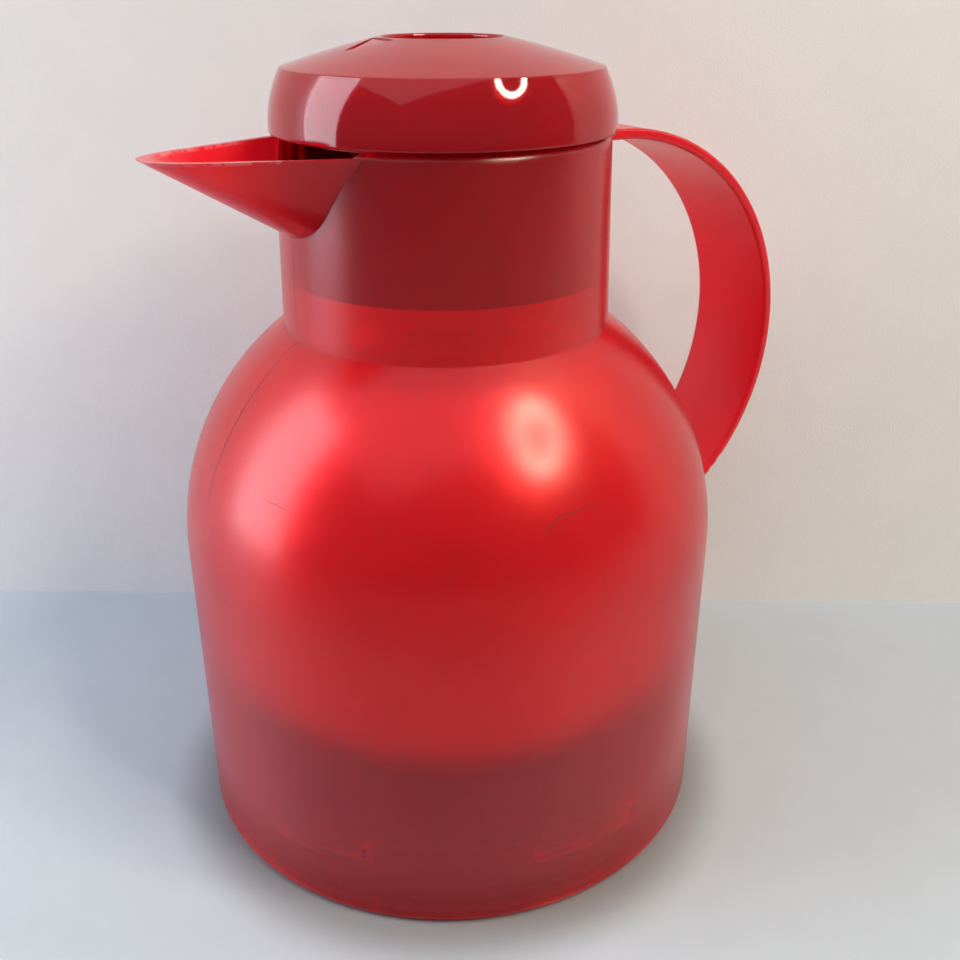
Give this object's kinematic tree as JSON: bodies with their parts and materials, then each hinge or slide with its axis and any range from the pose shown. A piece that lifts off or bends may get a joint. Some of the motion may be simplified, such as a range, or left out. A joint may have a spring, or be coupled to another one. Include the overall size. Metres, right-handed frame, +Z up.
{
  "type": "vacuum jug",
  "caption": "Insulated pouring jug with a domed shoulder, open spout, strap handle, glass flask inside and a screw-in lid with a push button that opens the valve.",
  "frame": {"origin": "on the jug's axis, at the surface the foot ring stands on", "axes": "+Z up along the jug's axis, -X towards the spout's tip, +X towards the handle"},
  "size_m": [0.1872, 0.15, 0.2156],
  "materials": {
    "casing": "frosted translucent, satin",
    "collar": "satin",
    "flask": "silvered glass",
    "pads": "pressed fibre",
    "dark_rubber": "matt",
    "silicone": "satin",
    "base": "satin",
    "lid": "gloss",
    "stopper": "satin",
    "button": "gloss",
    "valve_plastic": "satin",
    "spring": "drawn wire"
  },
  "bodies": {
    "jug": {"casing": "casing", "pour_collar": "collar", "flask_outer": "flask", "flask_inner": "flask", "flask_spacers": "pads", "flask_cushion": "dark_rubber", "mouth_gasket": "silicone", "base_cap": "base", "base_seal": "dark_rubber"},
    "gasket": {"plug_gasket": "silicone"},
    "closure": {"lid_shell": "lid", "stopper_head": "stopper", "plug_body": "stopper", "stem_wiper": "silicone"},
    "button": {"push_button": "button", "valve_stem": "valve_plastic", "valve_seal": "silicone", "valve_disc": "valve_plastic", "valve_nut": "valve_plastic", "button_spring": "spring"}
  },
  "joints": [
    {"name": "closure_rise", "type": "slide", "parent": "jug", "child": "gasket", "axis": [0, 0, 1], "range_m": [0, 0.06]},
    {"name": "closure_twist", "type": "hinge", "parent": "gasket", "child": "closure", "pos_m": [0, 0, 0.18], "axis": [0, 0, 1], "range_deg": [0, 300]},
    {"name": "button_press", "type": "slide", "parent": "closure", "child": "button", "axis": [0, 0, -1], "range_m": [0, 0.006], "stiffness_N_per_m": 700, "springref_m": -0.004, "deforming": ["button_spring"]}
  ],
  "couplings": [
    {"joint": "closure_rise", "follows": "closure_twist", "m_per_rad": 0.011459}
  ]
}
